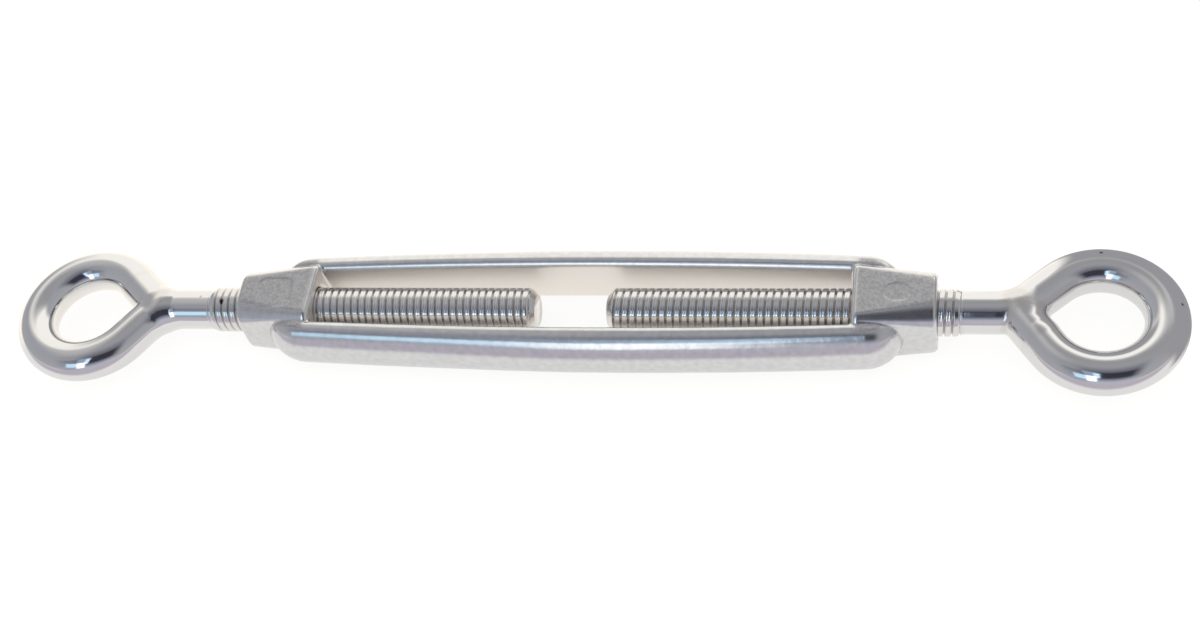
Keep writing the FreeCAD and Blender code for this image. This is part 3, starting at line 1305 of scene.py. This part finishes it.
@dataclass
class Studio:
    """White paper floor, and a room that is grey overhead with a cool softbox on the camera's side.

    The room's colours follow the angle from straight up, counted towards the camera's side in the
    plane across the screws. They are given towards -X and towards +X, and fade into each other.
    A curved grey card, seen only in mirrors, stands round the far side of the right eye as a painted grey
    reflection. Angles are in degrees, sizes in mm.
    """

    floor_z: float = -6.15
    floor_size: float = 3000.0
    card_centre: tuple[float, float] = (84.6, -1.5)
    card_radius: float = 20.0
    card_top: float = 22.0
    card_span: Span = (-35.0, 118.0)
    card_soft_span: float = 14.0
    card_soft_top: float = 8.0
    card_columns: int = 60
    card_rows: int = 24
    light_level: float = 1.9
    light_colour: str = "#FFFCF8"
    room_strength: float = 1.15
    room_change: Span = (-0.43, -0.12)
    side_change: Span = (0.45, 0.72)
    left_room: tuple[tuple[float, str], ...] = (
        (-180, "#FEFBF6"), (-40, "#FEFBF6"), (-34, "#DAD8D4"), (-26, "#BFBEBE"), (-6, "#B2B2B5"),
        (6, "#A4A5AA"), (12, "#989AA2"), (28, "#989AA2"), (35, "#80828B"), (42, "#80828B"), (48, "#8E939F"),
        (66, "#8E939F"), (70, "#9EA6B2"), (82, "#A2A7B5"), (90, "#B8B5C2"), (180, "#F4F0EA"),
    )
    right_room: tuple[tuple[float, str], ...] = (
        (-180, "#FFFDF9"), (-45, "#FFFDF9"), (-38, "#C8C8C9"), (-31, "#A0A1A4"), (-22, "#98999D"),
        (-2, "#9C9DA1"), (7, "#94969E"), (18, "#7C7E88"), (28, "#666873"), (34, "#34323D"), (54, "#34323D"),
        (59, "#484D5C"), (64, "#757A8B"), (70, "#949AA9"), (78, "#B5B5C2"), (180, "#F4F0EA"),
    )
    side_room: tuple[tuple[float, str], ...] = (
        (-1.0, "#F4F0EA"), (0.0, "#DAD6D2"), (0.12, "#A7A8AD"), (0.6, "#A0A2A9"),
    )
    panels: tuple[LightPanel, ...] = (
        LightPanel((-0.18, 0.09, 0.03), (40.0, 8.0, 4.0), "#94A6BC", 1.0),
        LightPanel((-0.285, 0.175, 0.04), (60.5, 8.5, 3.0), "#C2E5FE", 1.1),
        LightPanel((-0.078, 0.042, 0.01), (47.0, 10.0, 3.0), "#C6E2FC", 1.3),
        LightPanel((-0.18, 0.07, 0.03), (64.0, 12.0, 3.0), "#FAFCFF", 1.5),
    )

    def build_floor(self, finish: WhitePaperSweep) -> bpy.types.Object:
        """Lay the paper under the part.

        Args:
            finish: its finish.

        Returns:
            The floor.
        """
        square = np.array([[-1.0, -1.0, 0.0], [1.0, -1.0, 0.0], [1.0, 1.0, 0.0], [-1.0, 1.0, 0.0]])
        corners = 0.5 * self.floor_size * square + [0.0, 0.0, self.floor_z]
        floor = make_piece("paper_floor", corners, [np.array([[0, 1, 2, 3]])])
        floor.data.materials.append(finish.make())
        return floor

    def build_card(self, finish: PaintedReflectionCard) -> bpy.types.Object:
        """Stand the curved card round the far side of the right eye, thinning out to its edges; mirrors see
        it as a painted grey reflection.

        Args:
            finish: its finish, which reads the share that the card covers.

        Returns:
            The card.
        """
        bearings = np.radians(np.linspace(*self.card_span, self.card_columns + 1))
        heights = np.linspace(self.floor_z, self.card_top, self.card_rows + 1)
        angle, height = np.meshgrid(bearings, heights, indexing="ij")
        x = self.card_centre[0] + self.card_radius * np.cos(angle)
        y = self.card_centre[1] + self.card_radius * np.sin(angle)
        start, end = np.radians(self.card_span)
        soft = math.radians(self.card_soft_span)
        cover = smooth_step(angle, start, start + soft) * smooth_step(angle, end, end - soft)
        cover = cover * smooth_step(height, self.card_top, self.card_top - self.card_soft_top)
        rise = self.card_rows + 1
        column, row = np.meshgrid(np.arange(self.card_columns), np.arange(self.card_rows), indexing="ij")
        first = (column * rise + row).ravel()
        beside = first + rise
        quads = np.stack([first, first + 1, beside + 1, beside], axis=1)
        vertices = np.stack([x, y, height], axis=-1).reshape(-1, 3)
        card = make_piece("grey_card", vertices, [quads], None, {"cover": cover.ravel()})
        card.data.materials.append(finish.make())
        return card

    def window(self, tree: Tree, value: Socket, middle: float, half: float, soft: float) -> Socket:
        """Share that is 1 within `half` of the middle and eases to 0 over `soft` beyond it."""
        away = maths(tree, "ABSOLUTE", maths(tree, "SUBTRACT", value, middle))
        return mapped(tree, away, (half + soft, half), kind="SMOOTHSTEP")

    def room_colour(self, tree: Tree) -> Socket:
        """Colour of the room in each direction, with the softbox in it.

        Args:
            tree: node tree of the world.

        Returns:
            Socket with the colour.
        """
        direction = add_node(tree, "ShaderNodeTexCoord").outputs["Generated"]
        x, y, z = add_node(tree, "ShaderNodeSeparateXYZ", {"Vector": direction}).outputs
        angle = maths(tree, "DEGREES", maths(tree, "ARCTAN2", maths(tree, "MULTIPLY", y, -1.0), z))
        share = mapped(tree, angle, (-180.0, 180.0))
        rooms = [
            colour_ramp(tree, share, [((degrees + 180.0) / 360.0, colour) for degrees, colour in stops])
            for stops in (self.left_room, self.right_room)
        ]
        room = mixed(tree, mapped(tree, x, self.room_change, kind="SMOOTHSTEP"), *rooms)
        height = mapped(tree, z, (-1.0, 1.0))
        side = colour_ramp(tree, height, [(0.5 * (level + 1.0), colour) for level, colour in self.side_room])
        sideways = mapped(tree, maths(tree, "ABSOLUTE", x), self.side_change, kind="SMOOTHSTEP")
        colour = mixed(tree, sideways, room, side)
        for panel in self.panels:
            across = self.window(tree, x, *panel.x)
            lit = maths(tree, "MULTIPLY", across, self.window(tree, angle, *panel.angle))
            bright = add_node(tree, "ShaderNodeVectorMath", {
                0: linear(panel.colour)[:3], "Scale": panel.strength,
            }, operation="SCALE").outputs["Vector"]
            colour = mixed(tree, lit, colour, bright)
        return colour

    def build_world(self) -> None:
        """Set the room: its colours to mirrors, an even light to the paper, white to the camera."""
        world = bpy.data.worlds.new("studio_room")
        world.use_nodes = True
        tree = world.node_tree
        tree.nodes.clear()
        lights = (
            (self.light_colour, self.light_level),
            (self.room_colour(tree), self.room_strength),
            ("#FFFFFF", 1.0),
        )
        even, room, white = [
            add_node(tree, "ShaderNodeBackground", {"Color": colour, "Strength": strength}).outputs[0]
            for colour, strength in lights
        ]
        lit = blend(tree, mirrored(tree), even, room)
        add_node(tree, "ShaderNodeOutputWorld", {"Surface": blend(tree, seen_directly(tree), lit, white)})
        bpy.context.scene.world = world


def main() -> None:
    """Build the frame, the bolts and the studio in order, and report each piece."""
    logging.basicConfig(level=logging.INFO, format="%(message)s")
    bpy.context.scene.view_settings.view_transform = "Standard"
    pieces = [CastFrame().build("frame", "turnbuckle_frame", TumbledCastStainless())]
    rod = PolishedRodStainless()
    thread = RolledThreadStainless()
    right_pits = ((63.0, 0.8, 3.5, 0.45), (67.3, -0.2, 3.5, 0.10))
    left_pits = (
        (84.6, 9.56, 3.29, 0.24), (96.5, -0.29, 2.8, 0.20), (76.0, 1.2, 3.2, 0.20), (71.5, -3.5, 0.2, 0.26),
    )
    bolts = [
        (EyeBolt(
            "right_thread", Side.MINUS_X, ThreadHand.RIGHT, 7.1, 66.0, 89.0, 1.45, 2.2, 0.9, right_pits,
        ), "right_thread_bolt"),
        (EyeBolt(
            "left_thread", Side.PLUS_X, ThreadHand.LEFT, 5.2, 63.5, 84.6, -1.54, 0.5, 1.8, left_pits,
        ), "left_thread_bolt"),
    ]
    for bolt, body in bolts:
        node = bolt.name + "_eye_bolt"
        pieces.append(bolt.build_eye(body, node, rod))
        pieces.append(bolt.build_thread(body, node, thread))
    for piece in pieces:
        LOG.info("%s: %d faces", piece.name, len(piece.data.polygons))
    studio = Studio()
    studio.build_floor(WhitePaperSweep())
    studio.build_card(PaintedReflectionCard())
    studio.build_world()
    StudioCamera().build()


if __name__ == "__main__":
    main()
